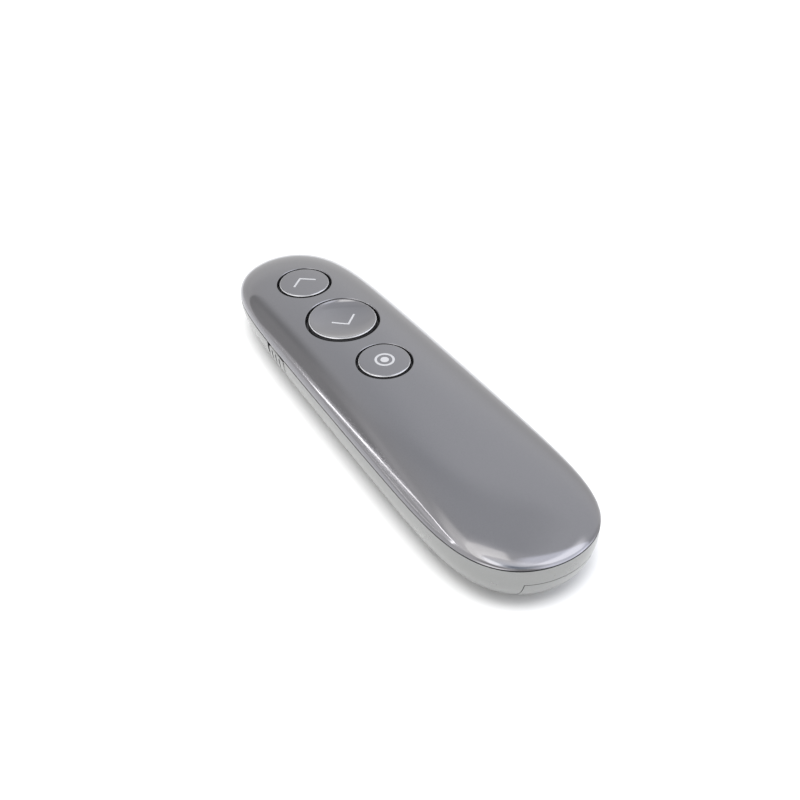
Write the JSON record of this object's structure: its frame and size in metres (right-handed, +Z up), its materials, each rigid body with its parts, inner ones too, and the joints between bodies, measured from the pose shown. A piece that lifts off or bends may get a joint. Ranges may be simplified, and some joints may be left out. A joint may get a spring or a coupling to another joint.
{
  "type": "presentation clicker",
  "caption": "Slim hand-held wireless presentation clicker with round push buttons, a side power slider, a laser at the nose and a battery door at the tail.",
  "frame": {"origin": "bottom centre of the body, on the surface it lies on", "axes": "+Y along the length towards the nose and the laser, +X to the right hand side of a user who points it, +Z up through the buttons"},
  "size_m": [0.0352, 0.12, 0.0171],
  "materials": {
    "shell_dark": "dark metallic lacquer under a clear gloss coat",
    "shell_silver": "light satin silver paint",
    "button_grey": "dark metallic lacquer, satin",
    "slider_silver": "light satin silver paint",
    "frame_black": "black moulded plastic",
    "board_green": "green solder mask",
    "switch_black": "black moulded plastic",
    "plunger_ivory": "ivory moulded plastic",
    "contact_steel": "nickel plated sheet and wire",
    "chip_black": "moulded chip package",
    "capacitor_tan": "ceramic with tinned ends",
    "barrel_brass": "turned brass",
    "lens_glass": "clear moulded lens",
    "window_dark": "dark red transparent window",
    "cell_can": "plain two-tone sleeve, no markings",
    "receiver_black": "black moulded plastic",
    "plug_steel": "plated plug shell",
    "screw_steel": "zinc plated steel"
  },
  "bodies": {
    "casing": {"top_shell": "shell_dark", "bottom_shell": "shell_silver", "inner_frame": "frame_black", "circuit_board": "board_green", "previous_switch_body": "switch_black", "next_switch_body": "switch_black", "laser_switch_body": "switch_black", "slide_switch_body": "contact_steel", "radio_chip": "chip_black", "crystal": "contact_steel", "board_capacitors": "capacitor_tan", "laser_barrel": "barrel_brass", "laser_diode": "barrel_brass", "laser_lens": "lens_glass", "nose_window": "window_dark", "battery": "cell_can", "battery_spring": "contact_steel", "negative_plate": "contact_steel", "positive_plate": "contact_steel", "case_screws": "screw_steel", "board_screws": "screw_steel", "frame_screws": "screw_steel"},
    "previous_key": {"previous_button": "button_grey", "previous_switch_plunger": "plunger_ivory"},
    "next_key": {"next_button": "button_grey", "next_switch_plunger": "plunger_ivory"},
    "laser_key": {"laser_button": "button_grey", "laser_switch_plunger": "plunger_ivory"},
    "slider": {"power_slider": "slider_silver", "slide_switch_lever": "switch_black"},
    "door": {"battery_door": "shell_silver"},
    "receiver": {"receiver_cap": "receiver_black", "receiver_plug": "plug_steel", "receiver_tongue": "switch_black"}
  },
  "joints": [
    {"name": "previous_press", "type": "slide", "parent": "casing", "child": "previous_key", "axis": [0, 0, -1], "range_m": [0, 0.0005], "stiffness_N_per_m": 600, "springref_m": -0.002},
    {"name": "next_press", "type": "slide", "parent": "casing", "child": "next_key", "axis": [0, 0, -1], "range_m": [0, 0.0005], "stiffness_N_per_m": 600, "springref_m": -0.002},
    {"name": "laser_press", "type": "slide", "parent": "casing", "child": "laser_key", "axis": [0, 0, -1], "range_m": [0, 0.0005], "stiffness_N_per_m": 600, "springref_m": -0.002},
    {"name": "power_slide", "type": "slide", "parent": "casing", "child": "slider", "axis": [0, 1, 0], "range_m": [0, 0.001]},
    {"name": "door_slide", "type": "slide", "parent": "casing", "child": "door", "axis": [0, -1, 0], "range_m": [0, 0.079]},
    {"name": "receiver_slide", "type": "slide", "parent": "casing", "child": "receiver", "axis": [0, -1, 0], "range_m": [0, 0.0124]}
  ]
}
